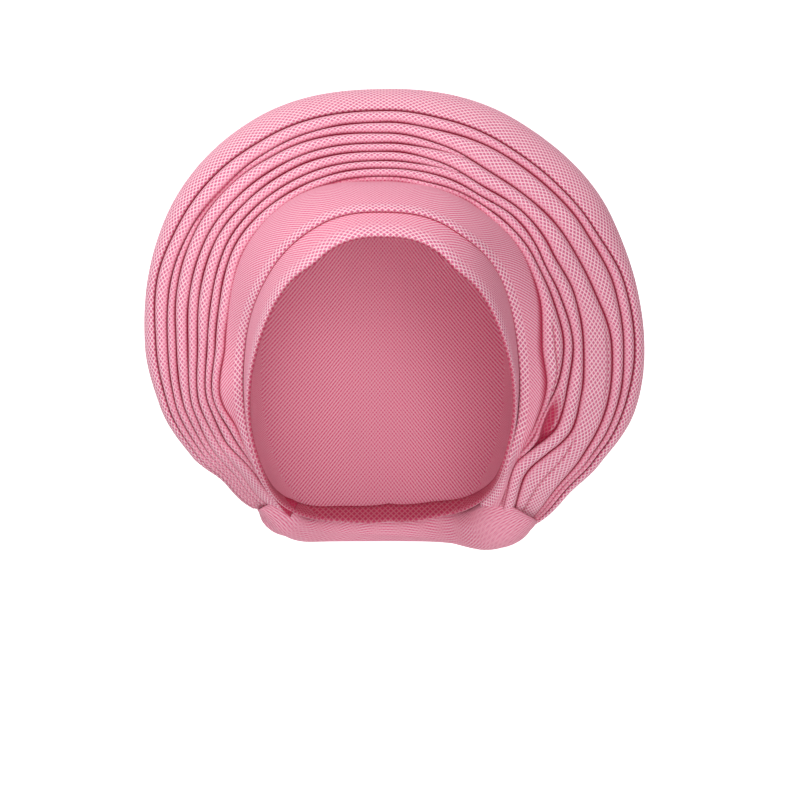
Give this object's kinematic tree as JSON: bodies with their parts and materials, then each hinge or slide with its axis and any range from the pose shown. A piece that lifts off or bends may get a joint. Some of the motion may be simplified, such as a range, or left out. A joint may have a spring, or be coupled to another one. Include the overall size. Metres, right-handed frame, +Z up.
{
  "type": "gele head tie",
  "caption": "Tied gele of stiff pink jacquard: wraps round the brow, a wide halo of pressed pleats that turns over at the rim, and a knot at the nape.",
  "frame": {"origin": "top of the wearer's head, where the first wrap's inside rests on it", "axes": "+Z up, the wearer looks along -Y, +X to the wearer's left"},
  "size_m": [0.2961, 0.2092, 0.2756],
  "materials": {
    "gele_cloth": "matt jacquard weave with a slight sheen"
  },
  "bodies": {
    "root": {"head_wrap": "gele_cloth", "second_wrap": "gele_cloth", "pleat_1": "gele_cloth", "pleat_2": "gele_cloth", "pleat_3": "gele_cloth", "pleat_4": "gele_cloth", "pleat_5": "gele_cloth", "pleat_6": "gele_cloth", "pleat_7": "gele_cloth", "pleat_8": "gele_cloth", "rim_drape": "gele_cloth", "nape_wrap": "gele_cloth", "nape_knot": "gele_cloth", "tail_end_left": "gele_cloth", "tail_end_right": "gele_cloth"}
  },
  "joints": []
}
